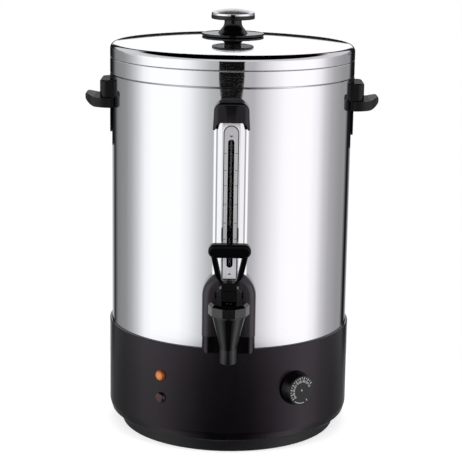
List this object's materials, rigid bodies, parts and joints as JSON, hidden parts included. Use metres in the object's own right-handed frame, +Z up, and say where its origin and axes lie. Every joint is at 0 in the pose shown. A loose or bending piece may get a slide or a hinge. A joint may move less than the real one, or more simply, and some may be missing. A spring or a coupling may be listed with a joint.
{
  "type": "hot water urn",
  "caption": "Catering hot water urn: polished steel tank with lift-off lid, sight gauge, lever tap over a black base with dial, lamps and inlet, and side handles.",
  "frame": {"origin": "on the tank's axis at the level of the feet's undersides, where the urn stands", "axes": "+Z up along the tank's axis, -Y to the front where the tap and gauge are, +X to the urn's right as seen from the front"},
  "size_m": [0.3428, 0.3512, 0.4945],
  "materials": {
    "mirror_steel": "mirror-polished stainless steel",
    "inner_steel": "satin stainless steel",
    "tap_black": "gloss black heat-resistant plastic",
    "black_gloss": "gloss black moulded plastic",
    "black_satin": "satin black moulded plastic",
    "black_lever": "gloss black phenolic",
    "scale_grey": "matt silver-grey printed plate",
    "clear_glass": "clear borosilicate glass",
    "orange_lens": "translucent orange lens",
    "red_lens": "translucent dark red lens",
    "screw_steel": "zinc-plated steel",
    "element_steel": "heat-tinted stainless tube",
    "brass_metal": "plain turned brass",
    "copper_metal": "copper capillary and bulb",
    "seal_rubber": "black rubber",
    "silicone": "translucent white silicone",
    "mica_heater": "mica sheet heater",
    "block_white": "ceramic-white moulding",
    "wire_insulation": "silicone wire insulation",
    "button_red": "red button"
  },
  "bodies": {
    "urn": {"base_screws": "screw_steel", "base_skirt": "black_gloss", "bottom_cover": "black_satin", "bulb_clip": "inner_steel", "element_gaskets": "seal_rubber", "element_nuts": "brass_metal", "gauge_cap_screw": "screw_steel", "gauge_cover": "mirror_steel", "gauge_glass": "clear_glass", "gauge_liner": "black_satin", "gauge_plate": "scale_grey", "gauge_seals": "silicone", "gauge_top_cap": "black_gloss", "handle_screws": "screw_steel", "handle_washers": "screw_steel", "heat_lamp_lens": "red_lens", "heater_clamp_plate": "inner_steel", "heating_element": "element_steel", "inlet_pins": "brass_metal", "inlet_screws": "screw_steel", "keep_warm_heater": "mica_heater", "lamp_bodies": "block_white", "left_handle": "black_gloss", "power_inlet": "black_satin", "right_handle": "black_gloss", "rubber_feet": "seal_rubber", "tank": "mirror_steel", "tank_nuts": "screw_steel", "tank_studs": "screw_steel", "tap_body": "tap_black", "tap_bonnet": "tap_black", "tap_gaskets": "silicone", "tap_lever_pin": "screw_steel", "tap_lock_nut": "brass_metal", "tap_shank": "brass_metal", "tap_shroud": "black_gloss", "terminal_block": "block_white", "thermal_cutout": "black_satin", "thermostat_body": "block_white", "thermostat_bulb": "copper_metal", "thermostat_screws": "screw_steel", "warm_lamp_lens": "orange_lens", "wiring_loom": "wire_insulation"},
    "lid": {"lid_shell": "mirror_steel", "lid_locating_ring": "inner_steel", "lid_knob_flange": "black_gloss", "lid_knob": "black_gloss", "lid_knob_cap": "mirror_steel", "lid_knob_screw": "screw_steel", "lid_knob_washer": "screw_steel"},
    "tap_lever": {"tap_lever": "black_lever"},
    "tap_valve": {"tap_stem": "inner_steel", "tap_seat_cup": "silicone", "tap_spring": "inner_steel"},
    "dial": {"thermostat_dial": "black_satin", "thermostat_shaft": "screw_steel"},
    "reset_button": {"reset_button": "button_red"}
  },
  "joints": [
    {"name": "lid_lift", "type": "slide", "parent": "urn", "child": "lid", "axis": [0, 0, 1], "range_m": [0, 0.15]},
    {"name": "lever_tilt", "type": "hinge", "parent": "urn", "child": "tap_lever", "pos_m": [0, -0.192, 0.2034], "axis": [1, 0, 0], "range_deg": [0, 40], "stiffness_Nm_per_rad": 0.05, "springref_deg": -17.19},
    {"name": "valve_lift", "type": "slide", "parent": "urn", "child": "tap_valve", "axis": [0, 0, 1], "range_m": [0, 0.0041], "deforming": ["tap_spring"]},
    {"name": "dial_turn", "type": "hinge", "parent": "urn", "child": "dial", "pos_m": [0.07737, -0.12098, 0.0762], "axis": [-0.5388, 0.8425, 0], "range_deg": [0, 270]},
    {"name": "reset_press", "type": "slide", "parent": "urn", "child": "reset_button", "axis": [-0.4226, -0.9063, 0], "range_m": [0, 0.002], "stiffness_N_per_m": 300}
  ],
  "couplings": [
    {"joint": "valve_lift", "follows": "lever_tilt", "m_per_rad": 0.0056}
  ]
}
